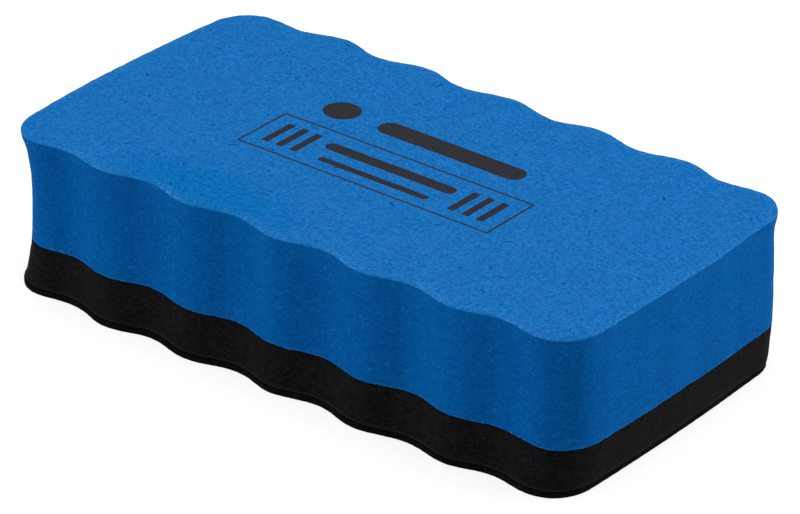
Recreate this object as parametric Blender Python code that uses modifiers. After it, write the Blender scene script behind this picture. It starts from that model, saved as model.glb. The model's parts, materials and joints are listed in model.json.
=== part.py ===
"""A magnetic whiteboard eraser: a blue foam block glued on a black foam slab, with two disc magnets in the
slab and a felt wiping layer underneath. Metres, +Z up, +X along the length; the wiping face lies on z = 0."""

import math

import bmesh
import bpy

# Overall size
LENGTH = 0.1099
WIDTH = 0.0617  # across the crests of the top face
HEIGHT = 0.0270

# Finger grooves along each long side: a crest on X = 0 and at every pitch from there, with a groove between
GROOVE_PITCH = 0.0166
GROOVES_EACH_SIDE = 6
GROOVE_DEPTH = 0.00175
FRONT_CORNER_CREST = 0.0299  # from the middle to the last crest on the -Y side, where each corner begins
BACK_CORNER_CREST = 0.0295  # the same on the +Y side
CORNER_RUN = 0.0069  # how far before the end a corner begins
CORNER_REACH = 0.0079  # how far round the end it runs
LEFT_BOW = 0.0007  # how far the left end's middle stands out past its corners
RIGHT_BOW = 0.0004

# Stack of layers, bottom to top. Glued faces keep a clearance, since the solids may not touch.
CLEARANCE = 0.0003
GLUE_THICKNESS = 0.0002
FELT_TOP = 0.0010
SLAB_TOP = 0.00765
BLOCK_BOTTOM = SLAB_TOP + GLUE_THICKNESS + 2 * CLEARANCE
SLAB_BOTTOM = FELT_TOP + GLUE_THICKNESS + 2 * CLEARANCE
GLUE_MARGIN = 0.0010  # how far each glue layer stops short of the foam's edge

# Magnets, in pockets punched through the slab
MAGNET_RADIUS = 0.0090
MAGNET_THICKNESS = 0.0050
MAGNET_CHAMFER = 0.0003
MAGNET_SPACING = 0.0600
POCKET_RADIUS = MAGNET_RADIUS + CLEARANCE

# How far each wall lies inside the length and width at these heights, from the foot up to the rounding of the
# top edge. Below zero it stands out past them.
TOP_ROUNDING = 0.0007
WALL_HEIGHTS = (0.0, 0.0025, 0.0085, 0.0175, 0.0235, HEIGHT - TOP_ROUNDING)
LEFT_WALL = (0.0005, 0.0010, 0.00155, 0.00125, 0.00075, 0.0)
RIGHT_WALL = (0.00075, 0.00015, -0.00015, -0.0002, 0.00055, 0.00025)
FRONT_WALL = (0.0, 0.0004, 0.0008, 0.0012, 0.0006, 0.0)
BACK_WALL = (0.0, 0.0004, 0.00035, 0.00075, 0.00025, 0.0)

# Fineness of the meshes
STEPS_PER_GROOVE = 8
STEPS_PER_CORNER = 6
STEPS_PER_HALF_END = 3
ROUNDING_STEPS = 2
DISC_SIDES = 40

BLUE_FOAM = ((0.012, 0.155, 0.515), 0.85, 0.0)
BLACK_FOAM = ((0.012, 0.012, 0.012), 0.85, 0.0)
BLACK_FELT = ((0.008, 0.008, 0.009), 0.95, 0.0)
CLEAR_GLUE = ((0.55, 0.50, 0.38), 0.45, 0.0)
FERRITE = ((0.035, 0.035, 0.038), 0.55, 0.3)


def clear_scene():
    for obj in list(bpy.data.objects):
        bpy.data.objects.remove(obj)


def new_collection(name):
    made = bpy.data.collections.new(name)
    bpy.context.scene.collection.children.link(made)
    return made


def new_material(name, look):
    colour, roughness, metallic = look
    made = bpy.data.materials.new(name)
    made.use_nodes = True
    shader = made.node_tree.nodes["Principled BSDF"]
    shader.inputs["Base Color"].default_value = (*colour, 1.0)
    shader.inputs["Roughness"].default_value = roughness
    shader.inputs["Metallic"].default_value = metallic
    made.diffuse_color = (*colour, 1.0)
    return made


def ease(share):
    """0 to 1 with a level start and end."""
    return (1 - math.cos(math.pi * share)) / 2


def wall_inset(wall, z):
    """How far a wall lies inside the length or width at height z: a smooth curve through its insets."""
    z = min(z, WALL_HEIGHTS[-1])
    last = len(wall) - 1
    i = max(k for k in range(last) if WALL_HEIGHTS[k] <= z)
    span = WALL_HEIGHTS[i + 1] - WALL_HEIGHTS[i]

    def slope(k):
        before, after = max(k - 1, 0), min(k + 1, last)
        return (wall[after] - wall[before]) / (WALL_HEIGHTS[after] - WALL_HEIGHTS[before])

    t = (z - WALL_HEIGHTS[i]) / span
    ends = wall[i] * (1 + 2 * t) * (1 - t) ** 2 + wall[i + 1] * (3 - 2 * t) * t**2
    return ends + span * t * (1 - t) * (slope(i) * (1 - t) - slope(i + 1) * t)


def side_points(half_width, crest_half_width, corner_start):
    """Points of the +Y side from its middle to the start of the +X corner, both ends included."""
    valleys_end = (GROOVES_EACH_SIDE - 1) / 2 * GROOVE_PITCH
    steps = STEPS_PER_GROOVE * (GROOVES_EACH_SIDE - 1) // 2
    points = []
    for i in range(steps + 1):
        x = valleys_end * i / steps
        points.append((x, half_width - GROOVE_DEPTH * ease(2 * x / GROOVE_PITCH)))
    valley = half_width - GROOVE_DEPTH
    half_groove = STEPS_PER_GROOVE // 2
    for i in range(1, half_groove + 1):
        share = i / half_groove
        x = valleys_end + (corner_start - valleys_end) * share
        points.append((x, valley + (crest_half_width - valley) * ease(share)))
    return points


def quarter_outline(end, bow, side_inset, corner_crest):
    """Points from the middle of the +Y side round the corner to the middle of the +X end."""
    crest = corner_crest - side_inset
    corner_start = end - CORNER_RUN
    corner_end_y = crest - CORNER_REACH
    points = side_points(WIDTH / 2 - side_inset, crest, corner_start)
    for i in range(1, STEPS_PER_CORNER + 1):
        turn = math.pi / 2 * i / STEPS_PER_CORNER
        x = corner_start + (CORNER_RUN - bow) * math.sin(turn)
        points.append((x, corner_end_y + CORNER_REACH * math.cos(turn)))
    for i in range(1, STEPS_PER_HALF_END + 1):
        y = corner_end_y * (1 - i / STEPS_PER_HALF_END)
        points.append((end - bow * (y / corner_end_y) ** 2, y))
    return points


def outline(z, inset=0.0):
    """The closed outline at height z, anticlockwise, drawn in by a further inset all round."""
    front = wall_inset(FRONT_WALL, z) + inset
    back = wall_inset(BACK_WALL, z) + inset
    right_end = LENGTH / 2 - wall_inset(RIGHT_WALL, z) - inset
    left_end = LENGTH / 2 - wall_inset(LEFT_WALL, z) - inset
    front_right = quarter_outline(right_end, RIGHT_BOW, front, FRONT_CORNER_CREST)
    back_right = quarter_outline(right_end, RIGHT_BOW, back, BACK_CORNER_CREST)
    back_left = quarter_outline(left_end, LEFT_BOW, back, BACK_CORNER_CREST)
    front_left = quarter_outline(left_end, LEFT_BOW, front, FRONT_CORNER_CREST)
    ring = [(x, -y) for x, y in front_right]
    ring += [(x, y) for x, y in back_right[-2::-1]]
    ring += [(-x, y) for x, y in back_left[1:]]
    ring += [(-x, -y) for x, y in front_left[-2:0:-1]]
    return ring


def add_object(name, mesh, collection, material=None):
    obj = bpy.data.objects.new(name, mesh)
    if material:
        mesh.materials.append(material)
    mesh.shade_smooth()
    mesh.set_sharp_from_angle(angle=math.radians(35))
    collection.objects.link(obj)
    return obj


def loft(name, levels, collection, material):
    """A closed solid through one ring of points for each (z, inset), capped flat at both ends."""
    build = bmesh.new()
    rings = [[build.verts.new((x, y, z)) for x, y in outline(z, inset)] for z, inset in levels]
    for low, high in zip(rings, rings[1:]):
        for i in range(len(low)):
            j = (i + 1) % len(low)
            build.faces.new((low[i], low[j], high[j], high[i]))
    build.faces.new(rings[0][::-1])
    build.faces.new(rings[-1])
    mesh = bpy.data.meshes.new(name)
    build.to_mesh(mesh)
    build.free()
    return add_object(name, mesh, collection, material)


def flat_layer(name, bottom, top, inset, collection, material):
    """A thin sheet cut to the outline: a filled 2D curve, extruded both ways from its middle."""
    middle = (bottom + top) / 2
    points = outline(middle, inset)
    curve = bpy.data.curves.new(name, "CURVE")
    curve.dimensions = "2D"
    curve.fill_mode = "BOTH"
    curve.extrude = (top - bottom) / 2
    spline = curve.splines.new("POLY")
    spline.points.add(len(points) - 1)
    for point, (x, y) in zip(spline.points, points):
        point.co = (x, y, 0.0, 1.0)
    spline.use_cyclic_u = True
    curve.materials.append(material)
    obj = bpy.data.objects.new(name, curve)
    obj.location.z = middle
    collection.objects.link(obj)
    return obj


def disc(name, radius, thickness, centre, collection, material=None):
    build = bmesh.new()
    bmesh.ops.create_cone(
        build, cap_ends=True, segments=DISC_SIDES, radius1=radius, radius2=radius, depth=thickness
    )
    mesh = bpy.data.meshes.new(name)
    build.to_mesh(mesh)
    build.free()
    obj = add_object(name, mesh, collection, material)
    obj.location = centre
    return obj


def make_upper_block(parts, material):
    levels = [(BLOCK_BOTTOM + (HEIGHT - TOP_ROUNDING - BLOCK_BOTTOM) * i / 6, 0.0) for i in range(7)]
    for i in range(1, ROUNDING_STEPS + 1):
        turn = math.pi / 2 * i / ROUNDING_STEPS
        z = HEIGHT - TOP_ROUNDING * (1 - math.sin(turn))
        levels.append((z, TOP_ROUNDING * (1 - math.cos(turn))))
    loft("upper_foam_block", levels, parts, material)


def make_lower_slab(parts, cutters, material):
    levels = [(SLAB_BOTTOM + (SLAB_TOP - SLAB_BOTTOM) * i / 2, 0.0) for i in range(3)]
    slab = loft("lower_foam_slab", levels, parts, material)
    middle = (SLAB_BOTTOM + SLAB_TOP) / 2
    for side in (-1, 1):
        centre = (side * MAGNET_SPACING / 2, 0.0, middle)
        pocket = disc(f"pocket_{side}", POCKET_RADIUS, 2 * SLAB_TOP, centre, cutters)
        pocket.hide_render = True
        pocket.display_type = "WIRE"
        cut = slab.modifiers.new("magnet pocket", "BOOLEAN")
        cut.operation = "DIFFERENCE"
        cut.object = pocket


def make_magnets(parts, material):
    """Both sit low in their pockets, close to the board."""
    z = SLAB_BOTTOM + MAGNET_THICKNESS / 2
    for side, name in ((-1, "magnet_left"), (1, "magnet_right")):
        centre = (side * MAGNET_SPACING / 2, 0.0, z)
        magnet = disc(name, MAGNET_RADIUS, MAGNET_THICKNESS, centre, parts, material)
        edge = magnet.modifiers.new("chamfered rim", "BEVEL")
        edge.width = MAGNET_CHAMFER
        edge.segments = 1
        edge.limit_method = "ANGLE"
        edge.angle_limit = math.radians(60)


def main():
    clear_scene()
    parts = new_collection("whiteboard_eraser")
    cutters = new_collection("cutters")
    glue = new_material("clear_glue", CLEAR_GLUE)
    make_upper_block(parts, new_material("blue_foam", BLUE_FOAM))
    make_lower_slab(parts, cutters, new_material("black_foam", BLACK_FOAM))
    make_magnets(parts, new_material("ferrite", FERRITE))
    flat_layer("wiping_felt", 0.0, FELT_TOP, 0.0, parts, new_material("black_felt", BLACK_FELT))
    for name, below in (("lower_glue_layer", FELT_TOP), ("upper_glue_layer", SLAB_TOP)):
        bottom = below + CLEARANCE
        flat_layer(name, bottom, bottom + GLUE_THICKNESS, GLUE_MARGIN, parts, glue)


main()
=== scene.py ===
import json
import math

import bmesh
import bpy
import numpy as np
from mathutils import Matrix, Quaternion, Vector, noise

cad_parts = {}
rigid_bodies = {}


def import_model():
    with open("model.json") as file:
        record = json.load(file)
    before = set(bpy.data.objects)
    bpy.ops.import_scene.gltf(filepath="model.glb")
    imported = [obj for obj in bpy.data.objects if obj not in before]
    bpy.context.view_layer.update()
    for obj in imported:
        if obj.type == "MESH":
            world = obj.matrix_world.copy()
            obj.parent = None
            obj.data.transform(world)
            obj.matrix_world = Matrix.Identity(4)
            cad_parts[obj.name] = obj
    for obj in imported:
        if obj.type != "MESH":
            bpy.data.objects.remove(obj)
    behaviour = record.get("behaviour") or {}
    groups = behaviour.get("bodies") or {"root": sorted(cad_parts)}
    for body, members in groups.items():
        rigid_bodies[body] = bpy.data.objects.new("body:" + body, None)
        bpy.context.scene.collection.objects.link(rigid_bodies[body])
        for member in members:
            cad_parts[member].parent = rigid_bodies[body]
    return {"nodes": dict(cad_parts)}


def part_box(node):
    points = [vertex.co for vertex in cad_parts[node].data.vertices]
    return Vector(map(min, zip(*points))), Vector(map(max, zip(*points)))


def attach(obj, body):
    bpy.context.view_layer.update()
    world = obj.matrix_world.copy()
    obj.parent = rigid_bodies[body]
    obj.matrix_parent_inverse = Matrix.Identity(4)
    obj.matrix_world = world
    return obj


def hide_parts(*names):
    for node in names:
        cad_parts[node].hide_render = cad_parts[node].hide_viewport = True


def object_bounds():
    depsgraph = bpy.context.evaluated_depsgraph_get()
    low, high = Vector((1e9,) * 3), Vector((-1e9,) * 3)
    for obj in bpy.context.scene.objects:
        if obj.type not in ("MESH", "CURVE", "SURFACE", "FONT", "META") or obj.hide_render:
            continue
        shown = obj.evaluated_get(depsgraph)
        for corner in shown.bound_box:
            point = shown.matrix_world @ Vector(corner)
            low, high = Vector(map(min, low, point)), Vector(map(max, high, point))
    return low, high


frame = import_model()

cad_low, cad_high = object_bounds()
block_low, block_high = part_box("upper_foam_block")
slab_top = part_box("lower_foam_slab")[1].z
felt_low, felt_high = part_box("wiping_felt")
upper_glue_low, upper_glue_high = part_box("upper_glue_layer")
lower_glue_low, lower_glue_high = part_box("lower_glue_layer")
magnets = [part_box(name) for name in ("magnet_left", "magnet_right")]

# Overall size, read from the frame
LENGTH = -2 * block_low.x
WIDTH = 2 * block_high.y
HEIGHT = block_high.z

# The outline and the lean of the walls, as in the CAD solids
GROOVE_PITCH = 0.0166
GROOVES_EACH_SIDE = 6
GROOVE_DEPTH = 0.00175
FRONT_CORNER_CREST = 0.0299
BACK_CORNER_CREST = 0.0295
CORNER_RUN = 0.0069
CORNER_REACH = 0.0079
LEFT_BOW = 0.0007
RIGHT_BOW = 0.0004
TOP_ROUNDING = 0.0007
WALL_HEIGHTS = (0.0, 0.0025, 0.0085, 0.0175, 0.0235, HEIGHT - TOP_ROUNDING)
LEFT_WALL = (0.0005, 0.0010, 0.00155, 0.00125, 0.00075, 0.0)
RIGHT_WALL = (0.00075, 0.00015, -0.00015, -0.0002, 0.00055, 0.00025)
FRONT_WALL = (0.0, 0.0004, 0.0008, 0.0012, 0.0006, 0.0)
BACK_WALL = (0.0, 0.0004, 0.00035, 0.00075, 0.00025, 0.0)

# Where the walls are cut unevenly: the middle in plan, how far in at the top and at the foot, and the reach.
# A negative distance is a bulge.
DENTS = (
    (-0.0290, -0.0300, 0.00042, -0.00042, 0.0050),
    (-0.0130, -0.0300, 0.00028, 0.0, 0.0045),
    (-0.0045, -0.0300, 0.00018, 0.00028, 0.0040),
    (0.0245, -0.0300, -0.00018, -0.00026, 0.0035),
    (0.0375, -0.0300, 0.0, 0.00052, 0.0055),
    (0.0515, -0.0275, -0.00028, 0.0, 0.0045),
    (0.0515, 0.0275, 0.00018, 0.0, 0.0050),
    (0.0405, 0.0300, 0.00046, 0.0, 0.0032),
    (0.0548, 0.0180, 0.00032, 0.0, 0.0055),
    (-0.0495, 0.0290, 0.00036, 0.0, 0.0055),
    (-0.0416, 0.0300, 0.00034, 0.0, 0.0028),
    (-0.0275, 0.0300, 0.00040, 0.0, 0.0028),
    (-0.0188, 0.0300, -0.00022, 0.0, 0.0030),
    (-0.0117, 0.0300, 0.00028, 0.0, 0.0025),
    (-0.0490, -0.0290, -0.00016, 0.0, 0.0035),
    (-0.0375, -0.0300, 0.0, 0.00030, 0.0030),
    (0.0025, -0.0300, 0.0, 0.00020, 0.0030),
    (0.0140, -0.0300, 0.0, -0.00018, 0.0040),
    (0.0485, -0.0300, 0.0, 0.00026, 0.0030),
    (-0.0535, -0.0250, 0.0, -0.00025, 0.0040),
    (0.0535, 0.0260, 0.0, -0.00025, 0.0040),
)

# Fineness of the outline. The caps are a coarser grid, one cell for every CAP_SHARE steps of the outline,
# joined to it by a band of faces. Relief on a cap fades out over its last few cells.
STEPS_PER_GROOVE = 64
STEPS_PER_CORNER = 56
STEPS_PER_HALF_END = 76
CAP_SHARE = 4
CAP_BAND = 0.0006
CAP_FADE_CELLS = 3
CAP_FADE_START = 0.34

# Where the layers meet at the edge, and the room left for each glue layer further in
UPPER_SEAM = upper_glue_high.z
LOWER_SEAM = felt_high.z + 0.00005
SEAM_GAP = 0.00008
GLUE_ROOM = 0.00002
RECESS_INSET = 0.0007
RECESS_FLOOR_INSET = RECESS_INSET + 0.0003

# How much lower the blue and black foam meet at the ends, and at a sag right of the middle. The foam follows
# the seam down, less and less, up to SEAM_PULL_REACH above and below it.
SEAM_DROOP = 0.00015
DROOP_POWER = 4
SAG_DEPTH = 0.00022
SAG_X = 0.012
SAG_REACH = 0.012
SEAM_PULL_REACH = 0.004

# The rounding of the foam at the seams, how far irregular edges reach up or down a wall, and how much of that
# irregularity is left at the mouth of a recess
FOAM_EDGE_RADIUS = 0.00014
EDGE_NOISE_REACH = 0.0009
RECESS_EDGE_NOISE = 0.3

# Pockets that hold the magnets
POCKET_CLEARANCE = 0.0003
POCKET_SIDES = 96

# The print: a thin frame with plain bars in it, and a dot and one long bar above it. A line is its y,
# half-length and radius. The title bar and the dot are their x, y, half-length and radius. INK_EDGE is half
# the width over which the ink fades.
PRINT_MIDDLE_X = -0.0001
FRAME_MIDDLE_Y = -0.0031
FRAME_HALF_X = 0.0239
FRAME_HALF_Y = 0.0060
FRAME_STROKE = 0.00039
END_BARS_X = (0.0152, 0.0179, 0.0206)
END_BAR_HALF_X = 0.00065
END_BAR_HALF_Y = 0.0036
LINES = ((-0.0015, 0.0112, 0.0012), (-0.0059, 0.0098, 0.0007))
TITLE = (0.0036, 0.0094, 0.0118, 0.0021)
DOT = (-0.0178, 0.0094, 0.0, 0.0031)
INK_EDGE = 0.00004

# A patch of painted shade on the top, near the front edge, where the painted sheen is weaker: its middle, and
# half its size along X and Y
PATCH_X, PATCH_Y = -0.017, -0.027
PATCH_HALF_X, PATCH_HALF_Y = 0.022, 0.011

# The torn bottom edge of the blue foam is painted black, partly for the black foam showing through and partly
# as painted shade at the joint, up to about half of this above the seam
RAGGED_HEIGHT = 0.0013

# The skin ends on the lip. It is whole down to SKIN_FULL_DEPTH below the top and gone at SKIN_END_DEPTH, or
# up to SKIN_UNEVENNESS further down in places.
SKIN_END_DEPTH = 0.00036
SKIN_FULL_DEPTH = 0.00022
SKIN_UNEVENNESS = 0.00012

# What looks paler: a painted sheen in flecks along the rim of the top, flecks along the bottom edge of the
# blue foam, a painted highlight along the bottom edge of the black foam, and the felt's wiping face. The
# paler look is full up to the FULL distance from there and gone by the END distance.
RIM_SHEEN_FULL = 0.0003
RIM_SHEEN_END = 0.0022
BLUE_FOOT_FULL = 0.0001
BLUE_FOOT_END = 0.0006
BLACK_FOOT_HIGHLIGHT_FULL = 0.0002
BLACK_FOOT_HIGHLIGHT_END = 0.0007
NAP_FULL = 0.00003
NAP_END = 0.00010

# The lip: a tight rounding, then a gentle slope that runs in to the flat of the top
LIP_RADIUS = 0.00030
LIP_SLOPE_RUN = 0.0010
LIP_SLOPE_DROP = 0.00010
LIP_SLOPE_STEPS = 4

# Faint nicks on the top, long and short: spacing, share of places that have one, half-length, half-width and
# seed. An uneven shift of up to NICK_WOBBLE bends them.
NICKS = (
    (0.013, 0.45, 0.0008, 0.00017, 0.37),
    (0.007, 0.25, 0.0004, 0.00022, 0.11),
)
NICK_WOBBLE = (0.0014, 0.0014, 0.0)

WHITE = (1.0, 1.0, 1.0, 1.0)


# Shape

def ease(share):
    """0 to 1 with a level start and end."""
    return (1 - math.cos(math.pi * share)) / 2


def wall_inset(wall, z):
    """How far a wall lies inside the overall size at height z: a smooth curve through its stated insets."""
    z = min(z, WALL_HEIGHTS[-1])
    last = len(wall) - 1
    i = max(k for k in range(last) if WALL_HEIGHTS[k] <= z)
    span = WALL_HEIGHTS[i + 1] - WALL_HEIGHTS[i]

    def slope(k):
        before, after = max(k - 1, 0), min(k + 1, last)
        return (wall[after] - wall[before]) / (WALL_HEIGHTS[after] - WALL_HEIGHTS[before])

    t = (z - WALL_HEIGHTS[i]) / span
    ends = wall[i] * (1 + 2 * t) * (1 - t) ** 2 + wall[i + 1] * (3 - 2 * t) * t**2
    return ends + span * t * (1 - t) * (slope(i) * (1 - t) - slope(i + 1) * t)


def side_points(half_width, crest_half_width, corner_start):
    """Points of the +Y side from its middle to the start of the +X corner, both ends included."""
    valleys_end = (GROOVES_EACH_SIDE - 1) / 2 * GROOVE_PITCH
    steps = STEPS_PER_GROOVE * (GROOVES_EACH_SIDE - 1) // 2
    points = []
    for i in range(steps + 1):
        x = valleys_end * i / steps
        points.append((x, half_width - GROOVE_DEPTH * ease(2 * x / GROOVE_PITCH)))
    valley = half_width - GROOVE_DEPTH
    half_groove = STEPS_PER_GROOVE // 2
    for i in range(1, half_groove + 1):
        share = i / half_groove
        x = valleys_end + (corner_start - valleys_end) * share
        points.append((x, valley + (crest_half_width - valley) * ease(share)))
    return points


def quarter_outline(end, bow, side_inset, corner_crest):
    """Points from the middle of the +Y side round the corner to the middle of the +X end."""
    crest = corner_crest - side_inset
    corner_start = end - CORNER_RUN
    corner_end_y = crest - CORNER_REACH
    points = side_points(WIDTH / 2 - side_inset, crest, corner_start)
    for i in range(1, STEPS_PER_CORNER + 1):
        turn = math.pi / 2 * i / STEPS_PER_CORNER
        x = corner_start + (CORNER_RUN - bow) * math.sin(turn)
        points.append((x, corner_end_y + CORNER_REACH * math.cos(turn)))
    for i in range(1, STEPS_PER_HALF_END + 1):
        y = corner_end_y * (1 - i / STEPS_PER_HALF_END)
        points.append((end - bow * (y / corner_end_y) ** 2, y))
    return points


def outline(z, inset=0.0):
    """The closed outline at height z, anticlockwise from the middle of the -Y side, drawn in by the inset."""
    front = wall_inset(FRONT_WALL, z) + inset
    back = wall_inset(BACK_WALL, z) + inset
    right_end = LENGTH / 2 - wall_inset(RIGHT_WALL, z) - inset
    left_end = LENGTH / 2 - wall_inset(LEFT_WALL, z) - inset
    front_right = quarter_outline(right_end, RIGHT_BOW, front, FRONT_CORNER_CREST)
    back_right = quarter_outline(right_end, RIGHT_BOW, back, BACK_CORNER_CREST)
    back_left = quarter_outline(left_end, LEFT_BOW, back, BACK_CORNER_CREST)
    front_left = quarter_outline(left_end, LEFT_BOW, front, FRONT_CORNER_CREST)
    ring = [(x, -y) for x, y in front_right]
    ring += [(x, y) for x, y in back_right[-2::-1]]
    ring += [(-x, y) for x, y in back_left[1:]]
    ring += [(-x, -y) for x, y in front_left[-2:0:-1]]
    return np.array(ring)


def outward(ring):
    """Unit vectors square to the ring in its plane, pointing out."""
    along = np.roll(ring, -1, 0) - np.roll(ring, 1, 0)
    along /= np.linalg.norm(along, axis=1)[:, None]
    return np.stack([along[:, 1], -along[:, 0]], 1)


def dented(points):
    """How far the walls are drawn in at each point. The dents fade out towards the upper seam."""
    at_top = np.clip((points[:, 2] - UPPER_SEAM) / (HEIGHT - UPPER_SEAM), 0, 1)
    at_foot = np.clip(1 - points[:, 2] / UPPER_SEAM, 0, 1)
    inwards = np.zeros(len(points))
    for x, y, top, foot, reach in DENTS:
        away = np.hypot(points[:, 0] - x, points[:, 1] - y) / reach
        inwards += np.exp(-(away**2)) * (top * at_top + foot * at_foot)
    return inwards


def roughened(points, scales, seed):
    """A sum of noises at points in space, one for each (amplitude, spacing along, spacing up)."""
    total = np.zeros(len(points))
    for amplitude, along, up in scales:
        shift = Vector((seed, seed * 1.7, seed * 0.6))
        values = [noise.noise(Vector((x / along, y / along, z / up)) + shift) for x, y, z in points]
        total += amplitude * np.array(values)
    return total


def wall_rings(levels, wall_noise, edge_noise, seed, cut_at=None):
    """One displaced ring of points in space for each (z, inset, share of edge noise).

    A layer with a cut_at height is cut square, to the outline at that height."""
    push_seed, lift_seed = seed + 11, seed + 23
    rings = []
    for z, inset, at_edge in levels:
        flat = outline(z if cut_at is None else cut_at, inset)
        points = np.column_stack([flat, np.full(len(flat), z)])
        out = outward(flat)
        push = roughened(points, wall_noise, seed) - dented(points)
        lift = np.zeros(len(points))
        if at_edge:
            push += at_edge * roughened(points, edge_noise, push_seed)
            lift += at_edge * roughened(points, edge_noise, lift_seed)
        rings.append(points + np.column_stack([out * push[:, None], lift]))
    return rings


def cap_grid(ring):
    """A grid whose rim is every CAP_SHARE-th point of the ring, blended inwards from its four sides."""
    rim = ring[::CAP_SHARE]
    long_steps = 2 * (STEPS_PER_GROOVE * GROOVES_EACH_SIDE // 2 + STEPS_PER_CORNER // 2) // CAP_SHARE
    short_steps = 2 * (STEPS_PER_HALF_END + STEPS_PER_CORNER // 2) // CAP_SHARE
    rim = np.roll(rim, long_steps // 2, 0)
    front = rim[: long_steps + 1]
    right = rim[long_steps : long_steps + short_steps + 1]
    back = rim[long_steps + short_steps : 2 * long_steps + short_steps + 1][::-1]
    left = np.concatenate([rim[2 * long_steps + short_steps :], rim[:1]])[::-1]
    u = np.linspace(0, 1, long_steps + 1)[:, None, None]
    v = np.linspace(0, 1, short_steps + 1)[None, :, None]
    across = (1 - v) * front[:, None] + v * back[:, None]
    along = (1 - u) * left[None] + u * right[None]
    front_corners = (1 - v) * ((1 - u) * front[0] + u * front[-1])
    back_corners = v * ((1 - u) * back[0] + u * back[-1])
    return across + along - front_corners - back_corners


def rim_indices(columns, rows):
    """Grid indices round the rim, in the ring's own order, from the middle of its first side."""
    order = [(i, 0) for i in range(columns)]
    order += [(columns, j) for j in range(rows)]
    order += [(i, rows) for i in range(columns, 0, -1)]
    order += [(0, j) for j in range(rows, 0, -1)]
    half = columns // 2
    return order[half:] + order[:half]


def steps_from_edge(count):
    """How many steps each of count + 1 points in a row lies from the nearer end."""
    steps = np.arange(count + 1)
    return np.minimum(steps, steps[::-1])


def layer_mesh(name, rings, top_noise=(), seed=0.0):
    """A closed solid through the rings, bottom to top, with a gridded cap on each end."""
    build = bmesh.new()
    loops = [[build.verts.new(p) for p in ring] for ring in rings]
    count = len(loops[0])
    for low, high in zip(loops, loops[1:]):
        for i in range(count):
            j = (i + 1) % count
            build.faces.new((low[i], low[j], high[j], high[i]))
    shrink = np.array([1 - CAP_BAND / (LENGTH / 2), 1 - CAP_BAND / (WIDTH / 2), 1.0])
    caps = ((rings[0], loops[0], (), False), (rings[-1], loops[-1], top_noise, True))
    for ring, loop, relief, up in caps:
        grid = cap_grid(ring)
        columns, rows = grid.shape[0] - 1, grid.shape[1] - 1
        lift = roughened(grid.reshape(-1, 3), relief, seed).reshape(grid.shape[:2])
        from_edge = np.minimum.outer(steps_from_edge(columns), steps_from_edge(rows))
        grid[..., 2] += lift * np.clip(from_edge / CAP_FADE_CELLS - CAP_FADE_START, 0, 1)
        inner = {}
        for i in range(columns + 1):
            for j in range(rows + 1):
                inner[i, j] = build.verts.new(grid[i, j] * shrink)
        for i in range(columns):
            for j in range(rows):
                face = (inner[i, j], inner[i + 1, j], inner[i + 1, j + 1], inner[i, j + 1])
                build.faces.new(face if up else face[::-1])
        rim = rim_indices(columns, rows)
        for k in range(len(rim)):
            fine = [loop[(k * CAP_SHARE + s) % count] for s in range(CAP_SHARE + 1)]
            face = fine + [inner[rim[(k + 1) % len(rim)]], inner[rim[k]]]
            build.faces.new(face if up else face[::-1])
    mesh = bpy.data.meshes.new(name)
    build.to_mesh(mesh)
    build.free()
    mesh.shade_smooth()
    obj = bpy.data.objects.new(name, mesh)
    bpy.context.scene.collection.objects.link(obj)
    return obj


def rounded_levels(z, radius, steps, upper):
    """Levels of a rounded edge that ends at height z, from the wall inwards."""
    levels = []
    for i in range(1, steps + 1):
        turn = math.pi / 2 * i / steps
        drop = radius * (1 - math.sin(turn))
        levels.append((z - drop if upper else z + drop, radius * (1 - math.cos(turn)), 1.0))
    return levels


def straight_levels(low, high, spacing, edge_fade):
    """Levels up a wall; the edge noise fades out within edge_fade of both ends."""
    count = round((high - low) / spacing)
    levels = []
    for i in range(count + 1):
        z = low + (high - low) * i / count
        near = min(z - low, high - z)
        levels.append((z, 0.0, max(0.0, 1 - near / edge_fade)))
    return levels


def droop_seam(rings):
    """Lowers what lies near the upper seam, towards both ends and at the sag. The recess inside it stays."""
    for ring in rings:
        towards_end = (np.abs(ring[:, 0]) / (LENGTH / 2)) ** DROOP_POWER
        towards_sag = np.exp(-(((ring[:, 0] - SAG_X) / SAG_REACH) ** 2))
        near = np.clip(1 - np.abs(ring[:, 2] - UPPER_SEAM) / SEAM_PULL_REACH, 0, 1)
        ring[:, 2] -= (SEAM_DROOP * towards_end + SAG_DEPTH * towards_sag) * near


def make_block():
    bottom = UPPER_SEAM + SEAM_GAP / 2
    lip = HEIGHT - LIP_SLOPE_DROP
    recess = upper_glue_high.z + GLUE_ROOM
    levels = [(recess, RECESS_FLOOR_INSET, 0.0), (bottom, RECESS_INSET, RECESS_EDGE_NOISE)]
    levels += rounded_levels(bottom, FOAM_EDGE_RADIUS, steps=3, upper=False)[::-1]
    straight = (bottom + FOAM_EDGE_RADIUS, lip - LIP_RADIUS)
    levels += straight_levels(*straight, spacing=0.0008, edge_fade=EDGE_NOISE_REACH)
    levels += rounded_levels(lip, LIP_RADIUS, steps=5, upper=True)
    for i in range(1, LIP_SLOPE_STEPS + 1):
        share = i / LIP_SLOPE_STEPS
        z = HEIGHT - LIP_SLOPE_DROP * (1 - share) ** 2
        levels.append((z, LIP_RADIUS + LIP_SLOPE_RUN * share, 1 - share))
    wall = ((0.00010, 0.011, 0.009), (0.00005, 0.0035, 0.0016))
    edge = ((0.00006, 0.0022, 0.0022), (0.00005, 0.0009, 0.0009))
    rings = wall_rings(levels, wall, edge, seed=3.1)
    droop_seam(rings[1:])
    top = ((0.00005, 0.013, 0.013), (0.00002, 0.004, 0.004))
    return layer_mesh("foam_block", rings, top, seed=5.3)


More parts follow.
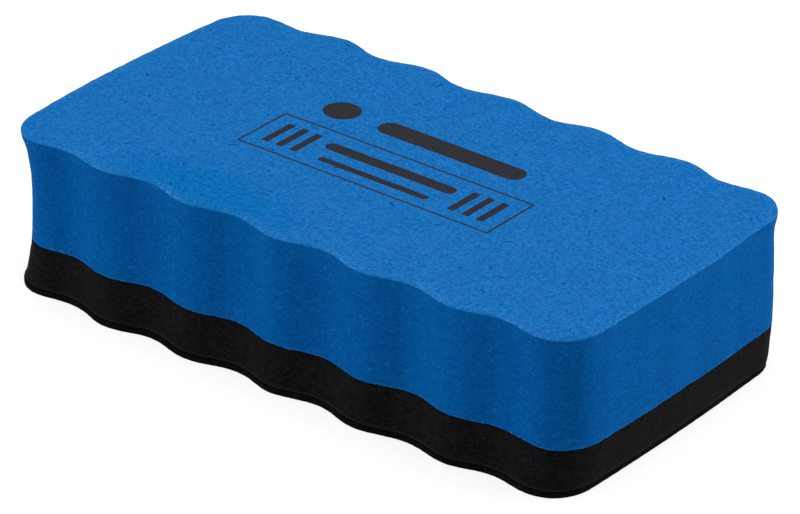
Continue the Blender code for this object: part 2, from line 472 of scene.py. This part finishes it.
def make_slab():
    bottom = LOWER_SEAM + SEAM_GAP / 2
    top = UPPER_SEAM - SEAM_GAP / 2
    low_recess = lower_glue_high.z + GLUE_ROOM
    high_recess = upper_glue_low.z - GLUE_ROOM
    levels = [(low_recess, RECESS_FLOOR_INSET, 0.0), (bottom, RECESS_INSET, RECESS_EDGE_NOISE)]
    levels += rounded_levels(bottom, FOAM_EDGE_RADIUS, steps=4, upper=False)[::-1]
    straight = (bottom + FOAM_EDGE_RADIUS, top - FOAM_EDGE_RADIUS)
    levels += straight_levels(*straight, spacing=0.0005, edge_fade=EDGE_NOISE_REACH)
    levels += rounded_levels(top, FOAM_EDGE_RADIUS, steps=3, upper=True)
    levels += [(top, RECESS_INSET, RECESS_EDGE_NOISE), (high_recess, RECESS_FLOOR_INSET, 0.0)]
    wall = ((0.00010, 0.012, 0.006), (0.00005, 0.003, 0.0015))
    edge = ((0.00006, 0.0022, 0.0022), (0.00004, 0.0009, 0.0009))
    rings = wall_rings(levels, wall, edge, seed=8.7)
    droop_seam(rings[:-1])
    return layer_mesh("foam_slab", rings)


def make_felt():
    top = LOWER_SEAM - SEAM_GAP / 2
    shoulder, foot = 0.00022, 0.00012
    recess = lower_glue_low.z - GLUE_ROOM
    levels = rounded_levels(0.0, foot, steps=3, upper=False)[::-1]
    levels += straight_levels(foot, top - shoulder, spacing=0.00025, edge_fade=0.001)
    levels += rounded_levels(top, shoulder, steps=4, upper=True)
    levels += [(top, RECESS_INSET, RECESS_EDGE_NOISE), (recess, RECESS_FLOOR_INSET, 0.0)]
    wall = ((0.00008, 0.016, 0.016), (0.00003, 0.0009, 0.0006))
    edge = ((0.00002, 0.0010, 0.0008), (0.00003, 0.0005, 0.0004))
    rings = wall_rings(levels, wall, edge, seed=14.3, cut_at=felt_high.z / 2)
    for ring in rings:
        ring[:, 2] = np.maximum(ring[:, 2], 0.0)
    return layer_mesh("felt_layer", rings)


def cut_pockets(slab):
    """Punches the two magnet pockets through the slab."""
    for i, (low, high) in enumerate(magnets):
        build = bmesh.new()
        radius = (high.x - low.x) / 2 + POCKET_CLEARANCE
        bmesh.ops.create_cone(
            build, cap_ends=True, segments=POCKET_SIDES, radius1=radius, radius2=radius, depth=2 * slab_top
        )
        mesh = bpy.data.meshes.new(f"pocket_{i}")
        build.to_mesh(mesh)
        build.free()
        cutter = bpy.data.objects.new(f"pocket_{i}", mesh)
        bpy.context.scene.collection.objects.link(cutter)
        cutter.location = ((low.x + high.x) / 2, (low.y + high.y) / 2, slab_top / 2)
        cut = slab.modifiers.new(f"pocket_{i}", "BOOLEAN")
        cut.operation = "DIFFERENCE"
        cut.object = cutter
    bpy.context.view_layer.update()
    graph = bpy.context.evaluated_depsgraph_get()
    whole = slab.data
    slab.data = bpy.data.meshes.new_from_object(slab.evaluated_get(graph))
    slab.modifiers.clear()
    bpy.data.meshes.remove(whole)
    for i in range(len(magnets)):
        bpy.data.objects.remove(bpy.data.objects[f"pocket_{i}"])


# Materials

class Surface:
    """A new material with a Principled shader, and short ways to add nodes to it."""

    def __init__(self, name, **constants):
        self.material = bpy.data.materials.new(name)
        self.material.use_nodes = True
        self.tree = self.material.node_tree
        self.shader = self.tree.nodes["Principled BSDF"]
        for socket, value in constants.items():
            self.shader.inputs[socket.replace("_", " ")].default_value = value
        self.place = self.node("TexCoord").outputs["Object"]

    def node(self, kind, inputs=None, **settings):
        made = self.tree.nodes.new("ShaderNode" + kind)
        for key, value in settings.items():
            setattr(made, key, value)
        for key, value in (inputs or {}).items():
            if isinstance(value, bpy.types.NodeSocket):
                self.tree.links.new(value, made.inputs[key])
            else:
                made.inputs[key].default_value = value
        return made

    def math(self, operation, a, b=0.0):
        return self.node("Math", {0: a, 1: b}, operation=operation).outputs[0]

    def vector_math(self, operation, a, b):
        return self.node("VectorMath", {0: a, 1: b}, operation=operation).outputs[0]

    def step(self, value, low, high):
        """0 below low and 1 above high, or the other way round where low is above high."""
        inputs = {"Value": value, "From Min": low, "From Max": high}
        return self.node("MapRange", inputs, interpolation_type="SMOOTHSTEP").outputs[0]

    def stretched(self, scale):
        """The place in space, scaled by a different amount along each axis."""
        return self.node("Mapping", {"Vector": self.place, "Scale": scale}).outputs[0]

    def turned(self, vector, angle):
        """The vector turned about Z."""
        inputs = {"Vector": vector, "Angle": angle}
        return self.node("VectorRotate", inputs, rotation_type="Z_AXIS").outputs[0]

    def noise(self, vector, scale, detail=2.0, roughness=0.5, distortion=0.0):
        inputs = {"Vector": vector, "Scale": scale, "Detail": detail}
        inputs |= {"Roughness": roughness, "Distortion": distortion}
        return self.node("TexNoise", inputs).outputs["Fac"]

    def mix(self, share, a, b):
        """Colour a where share is 0 and colour b where it is 1."""
        made = self.node("Mix", {0: share}, data_type="RGBA")
        for socket, value in ((made.inputs[6], a), (made.inputs[7], b)):
            if isinstance(value, bpy.types.NodeSocket):
                self.tree.links.new(value, socket)
            else:
                socket.default_value = (*value, 1.0)
        return made.outputs[2]

    def tinted(self, colour, where, strength, tint):
        """The colour, with this strength of tint mixed in where it belongs."""
        return self.mix(self.math("MULTIPLY", where, strength), colour, tint)

    def blend(self, share, a, b):
        """Number a where share is 0 and number b where it is 1."""
        return self.node("Mix", {0: share, 2: a, 3: b}, data_type="FLOAT").outputs[0]

    def bump(self, height, distance, strength=1.0):
        inputs = {"Height": height, "Distance": distance, "Strength": strength}
        return self.node("Bump", inputs).outputs[0]

    def finish(self, colour, roughness, normal):
        self.tree.links.new(colour, self.shader.inputs["Base Color"])
        self.tree.links.new(roughness, self.shader.inputs["Roughness"])
        self.tree.links.new(normal, self.shader.inputs["Normal"])
        return self.material


def nicks(surface, place, spacing, share, half_length, half_width, seed):
    """Sparse short dashes at random places and angles: 1 in a dash, 0 elsewhere."""
    shifted = surface.node("Mapping", {"Vector": place, "Location": (seed, seed * 0.7, 0.0)}).outputs[0]
    cells = surface.node("TexVoronoi", {"Vector": shifted, "Scale": 1 / spacing})
    random = surface.node("SeparateColor", {"Color": cells.outputs["Color"]}).outputs
    offset = surface.vector_math("SUBTRACT", shifted, cells.outputs["Position"])
    turned = surface.turned(offset, surface.math("MULTIPLY", random[0], math.pi))
    parts = surface.node("SeparateXYZ", {"Vector": turned}).outputs
    along = surface.math("DIVIDE", surface.math("ABSOLUTE", parts[0]), half_length)
    across = surface.math("DIVIDE", surface.math("ABSOLUTE", parts[1]), half_width)
    span = surface.math("ADD", surface.math("POWER", along, 2.0), surface.math("POWER", across, 2.0))
    kept = surface.math("LESS_THAN", random[1], share)
    return surface.math("MULTIPLY", surface.step(span, 1.0, 0.2), kept)


def box_distance(surface, x, y, middle, half_size):
    """Signed distance to a box in the XY plane, roughly, negative inside."""
    sides = []
    for value, centre, half in zip((x, y), middle, half_size):
        away = surface.math("ABSOLUTE", surface.math("SUBTRACT", value, centre))
        sides.append(surface.math("SUBTRACT", away, half))
    return surface.math("MAXIMUM", *sides)


def pill_distance(surface, x, y, middle, half_length, radius):
    """Signed distance to a bar along X with round ends, negative inside."""
    away = surface.math("ABSOLUTE", surface.math("SUBTRACT", x, middle[0]))
    past = surface.math("MAXIMUM", surface.math("SUBTRACT", away, half_length), 0.0)
    up = surface.math("SUBTRACT", y, middle[1])
    squares = surface.math("ADD", surface.math("POWER", past, 2.0), surface.math("MULTIPLY", up, up))
    return surface.math("SUBTRACT", surface.math("SQRT", squares), radius)


def print_mask(surface, x, y):
    """1 on the printed ink of the top face, 0 elsewhere."""
    x = surface.math("SUBTRACT", x, PRINT_MIDDLE_X)
    frame_box = box_distance(surface, x, y, (0.0, FRAME_MIDDLE_Y), (FRAME_HALF_X, FRAME_HALF_Y))
    nearest = surface.math("SUBTRACT", surface.math("ABSOLUTE", frame_box), FRAME_STROKE / 2)
    from_middle = surface.math("ABSOLUTE", x)
    for bar_x in END_BARS_X:
        bar = box_distance(surface, from_middle, y, (bar_x, FRAME_MIDDLE_Y), (END_BAR_HALF_X, END_BAR_HALF_Y))
        nearest = surface.math("MINIMUM", nearest, bar)
    for line_y, half_length, radius in LINES:
        line = pill_distance(surface, x, y, (0.0, line_y), half_length, radius)
        nearest = surface.math("MINIMUM", nearest, line)
    for pill in (TITLE, DOT):
        nearest = surface.math("MINIMUM", nearest, pill_distance(surface, x, y, pill[:2], *pill[2:]))
    frayed = surface.math("MULTIPLY", surface.noise(surface.place, 3000, 2.0), 2 * INK_EDGE)
    return surface.step(surface.math("ADD", nearest, frayed), 2 * INK_EDGE, 0.0)


def rim_distance(surface, x, y):
    """How far a point of the top face lies inside the rim, roughly: the corners are taken as square."""
    swing = surface.math("COSINE", surface.math("MULTIPLY", x, 2 * math.pi / GROOVE_PITCH))
    groove = surface.math("MULTIPLY", surface.math("SUBTRACT", 1.0, swing), GROOVE_DEPTH / 2)
    half_width = surface.math("SUBTRACT", WIDTH / 2, groove)
    from_side = surface.math("SUBTRACT", half_width, surface.math("ABSOLUTE", y))
    from_end = surface.math("SUBTRACT", LENGTH / 2, surface.math("ABSOLUTE", x))
    return surface.math("MINIMUM", from_side, from_end)


def seam_drop(surface, x):
    """How far the upper seam lies below UPPER_SEAM, as in droop_seam."""
    from_middle = surface.math("DIVIDE", surface.math("ABSOLUTE", x), LENGTH / 2)
    towards_end = surface.math("POWER", from_middle, DROOP_POWER)
    from_sag = surface.math("DIVIDE", surface.math("SUBTRACT", x, SAG_X), SAG_REACH)
    exponent = surface.math("MULTIPLY", surface.math("POWER", from_sag, 2.0), -1.0)
    towards_sag = surface.math("EXPONENT", exponent)
    droop = surface.math("MULTIPLY", towards_end, SEAM_DROOP)
    return surface.math("ADD", droop, surface.math("MULTIPLY", towards_sag, SAG_DEPTH))


def blue_foam():
    s = Surface("blue_foam", Specular_IOR_Level=0.02)
    x, y, z = s.node("SeparateXYZ", {"Vector": s.place}).outputs
    uneven = s.math("MULTIPLY", s.noise(s.place, 900, 2.0), SKIN_UNEVENNESS)
    skin = s.step(s.math("ADD", z, uneven), HEIGHT - SKIN_END_DEPTH, HEIGHT - SKIN_FULL_DEPTH)

    # Top: an embossed, mottled skin with dark specks, a few faint nicks, and a painted sheen in paler flecks
    # along the rim
    grain = s.noise(s.place, 1900, 3.0, 0.62)
    clouds = s.noise(s.place, 230, 3.0, 0.55)
    specks = s.step(s.noise(s.place, 1500, 2.0, 0.5), 0.645, 0.70)
    specks = s.math("MULTIPLY", specks, s.step(s.noise(s.place, 110, 2.0, 0.5), 0.34, 0.62))
    wobble = s.vector_math("MULTIPLY", s.noise(s.place, 500, 2.0), NICK_WOBBLE)
    wavy_place = s.vector_math("ADD", s.place, wobble)
    marks = s.math("MAXIMUM", *[nicks(s, wavy_place, *kind) for kind in NICKS])
    # Painted shade: a patch near the front edge where the skin shows less of its painted sheen and a slightly
    # darker blue
    across_patch = s.math("DIVIDE", s.math("SUBTRACT", x, PATCH_X), PATCH_HALF_X)
    up_patch = s.math("DIVIDE", s.math("SUBTRACT", y, PATCH_Y), PATCH_HALF_Y)
    from_patch = s.math("ADD", s.math("POWER", across_patch, 2.0), s.math("POWER", up_patch, 2.0))
    shaded_patch = s.step(from_patch, 1.0, 0.0)
    # The red in the skin's lighter tone and in its clouds is a painted sheen, a whitish reflection on the
    # top; the blue is the skin's own colour
    darker = s.mix(shaded_patch, (0.0000, 0.100, 0.341), (0.0000, 0.088, 0.307))
    lighter = s.mix(shaded_patch, (0.0165, 0.169, 0.483), (0.0024, 0.163, 0.466))
    skin_colour = s.mix(s.step(grain, 0.30, 0.70), darker, lighter)
    skin_colour = s.tinted(skin_colour, s.step(clouds, 0.35, 0.75), 0.30, (0.0105, 0.138, 0.385))
    skin_colour = s.tinted(skin_colour, specks, 0.7, (0.0030, 0.050, 0.190))
    skin_colour = s.tinted(skin_colour, marks, 0.8, (0.0040, 0.032, 0.120))
    # Painted sheen: paler flecks near the rim, stronger on the parts of the grooves that face left, where the
    # left front lamp catches them
    near_rim = s.step(rim_distance(s, x, y), RIM_SHEEN_END, RIM_SHEEN_FULL)
    facing_left = s.step(s.math("SINE", s.math("MULTIPLY", x, 2 * math.pi / GROOVE_PITCH)), 0.4, -0.8)
    rim_sheen_flecks = s.math("MULTIPLY", near_rim, s.step(s.noise(s.place, 2300, 3.0, 0.6), 0.46, 0.64))
    rim_sheen_flecks = s.math("MULTIPLY", rim_sheen_flecks, s.blend(facing_left, 0.25, 0.70))
    skin_colour = s.mix(rim_sheen_flecks, skin_colour, (0.0480, 0.230, 0.560))

    # Walls: cut foam with a fine grain, soft upright bands and light points, and a flecked, torn bottom edge
    # painted dark, partly as black foam and partly as painted shade at the joint
    cells = s.noise(s.stretched((1.0, 1.0, 1.7)), 1500, 3.0, 0.62)
    cut_lines = s.noise(s.stretched((1.0, 1.0, 5.0)), 650, 2.0, 0.5)
    bands = s.noise(s.stretched((1.0, 1.0, 0.06)), 330, 2.0, 0.5)
    points = s.step(s.noise(s.place, 1500, 1.0, 0.5), 0.66, 0.74)
    tone = s.math("ADD", s.math("MULTIPLY", cells, 0.62), s.math("MULTIPLY", cut_lines, 0.20))
    tone = s.math("ADD", tone, s.math("MULTIPLY", bands, 0.18))
    wall_colour = s.mix(s.step(tone, 0.34, 0.66), (0.0001, 0.058, 0.224), (0.0006, 0.091, 0.310))
    wall_colour = s.tinted(wall_colour, points, 0.4, (0.0060, 0.160, 0.430))
    above_seam = s.math("SUBTRACT", s.math("ADD", z, seam_drop(s, x)), UPPER_SEAM)
    foot = s.step(above_seam, BLUE_FOOT_END, BLUE_FOOT_FULL)
    foot_flecks = s.math("MULTIPLY", foot, s.step(s.noise(s.place, 1400, 2.0), 0.46, 0.60))
    wall_colour = s.tinted(wall_colour, foot_flecks, 0.5, (0.0300, 0.150, 0.330))
    # The torn bottom edge is painted near black: partly the black foam showing through, partly painted shade
    # at the joint
    ragged = s.math("MULTIPLY", s.math("SUBTRACT", s.noise(s.place, 1400, 2.0, 0.6), 0.5), RAGGED_HEIGHT)
    torn_edge_and_shade = s.step(s.math("SUBTRACT", above_seam, ragged), 0.00006, 0.00002)
    wall_colour = s.mix(torn_edge_and_shade, wall_colour, (0.0040, 0.0042, 0.0052))

    ink = s.math("MULTIPLY", print_mask(s, x, y), skin)
    worn = s.step(s.noise(s.place, 2600, 2.0, 0.6), 0.26, 0.36)
    ink = s.math("MULTIPLY", ink, s.blend(worn, 0.7, 1.0))
    colour = s.mix(skin, wall_colour, skin_colour)
    colour = s.mix(ink, colour, s.mix(grain, (0.0190, 0.0185, 0.0235), (0.0350, 0.0330, 0.0380)))

    skin_roughness = s.blend(grain, 0.58, 0.76)
    roughness = s.blend(skin, s.blend(cells, 0.86, 0.98), skin_roughness)
    relief = s.blend(skin, tone, grain)
    relief = s.math("SUBTRACT", relief, s.math("MULTIPLY", s.math("MULTIPLY", marks, skin), 1.2))
    return s.finish(colour, roughness, s.bump(relief, 0.00012))


def black_foam():
    s = Surface("black_foam", Specular_IOR_Level=0.04)
    z = s.node("SeparateXYZ", {"Vector": s.place}).outputs[2]
    patches = s.noise(s.place, 420, 3.0, 0.6)
    cells = s.noise(s.stretched((1.0, 1.0, 1.35)), 1900, 3.0, 0.62)
    cut_lines = s.noise(s.stretched((1.0, 1.0, 5.0)), 600, 2.0, 0.5)
    tone = s.math("ADD", s.math("MULTIPLY", cells, 0.7), s.math("MULTIPLY", cut_lines, 0.3))
    colour = s.mix(s.step(tone, 0.36, 0.64), (0.0018, 0.0018, 0.0019), (0.0069, 0.0068, 0.0069))
    colour = s.tinted(colour, s.step(patches, 0.50, 0.68), 0.45, (0.0086, 0.0067, 0.0048))
    colour = s.tinted(colour, s.step(cells, 0.60, 0.74), 0.4, (0.0220, 0.0220, 0.0220))
    # Painted highlight: the black foam is made paler along its bottom edge, as if the edge caught the light
    foot = s.step(z, LOWER_SEAM + BLACK_FOOT_HIGHLIGHT_END, LOWER_SEAM + BLACK_FOOT_HIGHLIGHT_FULL)
    colour = s.tinted(colour, foot, 0.6, (0.0120, 0.0120, 0.0120))
    return s.finish(colour, s.blend(cells, 0.84, 0.98), s.bump(tone, 0.00012))


def black_felt():
    s = Surface("black_felt", Specular_IOR_Level=0.02)
    height = None
    for turn, stretch in ((0.3, 5.0), (1.4, 6.0), (2.5, 5.5)):
        turned = s.turned(s.place, turn)
        thin = s.node("Mapping", {"Vector": turned, "Scale": (1.0, stretch, 1.5)}).outputs[0]
        fibres = s.noise(thin, 900, 2.0, 0.6, 1.2)
        height = fibres if height is None else s.math("MAXIMUM", height, fibres)
    clumps = s.noise(s.place, 900, 3.0, 0.6)
    colour = s.mix(s.step(height, 0.52, 0.78), (0.0020, 0.0020, 0.0021), (0.0110, 0.0110, 0.0114))
    colour = s.tinted(colour, s.step(clumps, 0.4, 0.7), 0.5, (0.0034, 0.0034, 0.0035))
    # The wiping face is a napped charcoal, paler than the pressed and cut edge.
    z = s.node("SeparateXYZ", {"Vector": s.place}).outputs[2]
    napped = s.mix(s.step(height, 0.50, 0.76), (0.0090, 0.0090, 0.0096), (0.0380, 0.0380, 0.0395))
    napped = s.tinted(napped, s.step(clumps, 0.4, 0.7), 0.5, (0.0160, 0.0160, 0.0168))
    colour = s.mix(s.step(z, NAP_END, NAP_FULL), colour, napped)
    relief = s.math("ADD", height, s.math("MULTIPLY", clumps, 0.6))
    return s.finish(colour, s.blend(clumps, 0.90, 1.0), s.bump(relief, 0.00018, 0.9))


def ferrite():
    s = Surface("ferrite", Specular_IOR_Level=0.5)
    grit = s.noise(s.place, 5200, 3.0, 0.65)
    patches = s.noise(s.place, 500, 3.0, 0.6)
    colour = s.mix(s.step(patches, 0.35, 0.7), (0.026, 0.026, 0.029), (0.048, 0.047, 0.048))
    colour = s.tinted(colour, s.step(grit, 0.60, 0.74), 0.6, (0.085, 0.083, 0.084))
    return s.finish(colour, s.blend(patches, 0.42, 0.62), s.bump(grit, 0.00004, 0.7))


def glue():
    s = Surface("glue", Specular_IOR_Level=0.5, Subsurface_Weight=0.25, Subsurface_Scale=0.001)
    swirls = s.noise(s.place, 300, 4.0, 0.6, 1.0)
    beads = s.noise(s.place, 1800, 2.0, 0.5)
    colour = s.mix(s.step(swirls, 0.3, 0.7), (0.46, 0.41, 0.29), (0.62, 0.57, 0.45))
    relief = s.math("ADD", swirls, s.math("MULTIPLY", beads, 0.4))
    return s.finish(colour, s.blend(swirls, 0.32, 0.55), s.bump(relief, 0.00008, 0.8))


# Camera and studio

def make_camera():
    """A long lens from the right and above, rolled so that the picture turns a little clockwise."""
    azimuth, elevation, roll = math.radians(36.114), math.radians(27.925), math.radians(2.13)
    distance = 0.7370
    aim = Vector((0.00143, -0.00026, 0.01160))
    back = Vector((
        math.sin(azimuth) * math.cos(elevation), -math.cos(azimuth) * math.cos(elevation), math.sin(elevation)
    ))
    camera = bpy.data.objects.new("camera", bpy.data.cameras.new("camera"))
    camera.data.lens = 213.9
    camera.data.sensor_width = 36.0
    camera.data.clip_start, camera.data.clip_end = 0.05, 20.0
    camera.location = aim + back * distance
    camera.rotation_mode = "QUATERNION"
    camera.rotation_quaternion = (-back).to_track_quat("-Z", "Y") @ Quaternion((0, 0, 1), roll)
    bpy.context.scene.collection.objects.link(camera)
    bpy.context.scene.camera = camera


def make_floor():
    build = bmesh.new()
    bmesh.ops.create_grid(build, x_segments=1, y_segments=1, size=4.0)
    mesh = bpy.data.meshes.new("floor")
    build.to_mesh(mesh)
    build.free()
    floor = bpy.data.objects.new("floor", mesh)
    floor.location.z = cad_low.z
    bpy.context.scene.collection.objects.link(floor)
    s = Surface("floor_paper", Specular_IOR_Level=0.1, Emission_Color=WHITE, Emission_Strength=0.70)
    tone = s.mix(s.noise(s.place, 6.0), (0.39, 0.39, 0.39), (0.41, 0.41, 0.41))
    roughness = s.blend(s.noise(s.place, 30), 0.8, 0.9)
    fibres = s.bump(s.noise(s.place, 400), 0.0001)
    floor.data.materials.append(s.finish(tone, roughness, fibres))


def softbox(name, azimuth, elevation, distance, size, watts):
    """A square light aimed at the eraser. Azimuth 0 is in front of it, at -Y, and 90 at +X."""
    turn, rise = math.radians(azimuth), math.radians(elevation)
    away = Vector((math.sin(turn) * math.cos(rise), -math.cos(turn) * math.cos(rise), math.sin(rise)))
    data = bpy.data.lights.new(name, "AREA")
    data.size = size
    data.energy = watts
    light = bpy.data.objects.new(name, data)
    light.location = away * distance
    light.rotation_mode = "QUATERNION"
    light.rotation_quaternion = (-away).to_track_quat("-Z", "Y")
    bpy.context.scene.collection.objects.link(light)


def make_studio():
    softbox("overhead", azimuth=0, elevation=89, distance=1.2, size=1.2, watts=10.55)
    softbox("left_front", azimuth=-55, elevation=20, distance=1.0, size=0.6, watts=6.2)
    softbox("right_back", azimuth=140, elevation=20, distance=1.0, size=0.6, watts=8.35)
    world = bpy.data.worlds.new("studio")
    world.use_nodes = True
    background = world.node_tree.nodes["Background"]
    background.inputs["Color"].default_value = WHITE
    background.inputs["Strength"].default_value = 0.185
    bpy.context.scene.world = world
    bpy.context.scene.view_settings.view_transform = "Standard"


make_camera()
make_floor()
make_studio()

block = make_block()
slab = make_slab()
cut_pockets(slab)
felt = make_felt()
for piece, node, slot, material in (
    (block, "upper_foam_block", "blue_foam", blue_foam()),
    (slab, "lower_foam_slab", "black_foam", black_foam()),
    (felt, "wiping_felt", "felt", black_felt()),
):
    piece.data.materials.clear()
    piece.data.materials.append(material)
    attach(piece, "root")
    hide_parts(node)

for names, material in (
    (("upper_glue_layer", "lower_glue_layer"), glue()),
    (("magnet_left", "magnet_right"), ferrite()),
):
    for name in names:
        cad_node = frame["nodes"][name]
        cad_node.data.materials.clear()
        cad_node.data.materials.append(material)
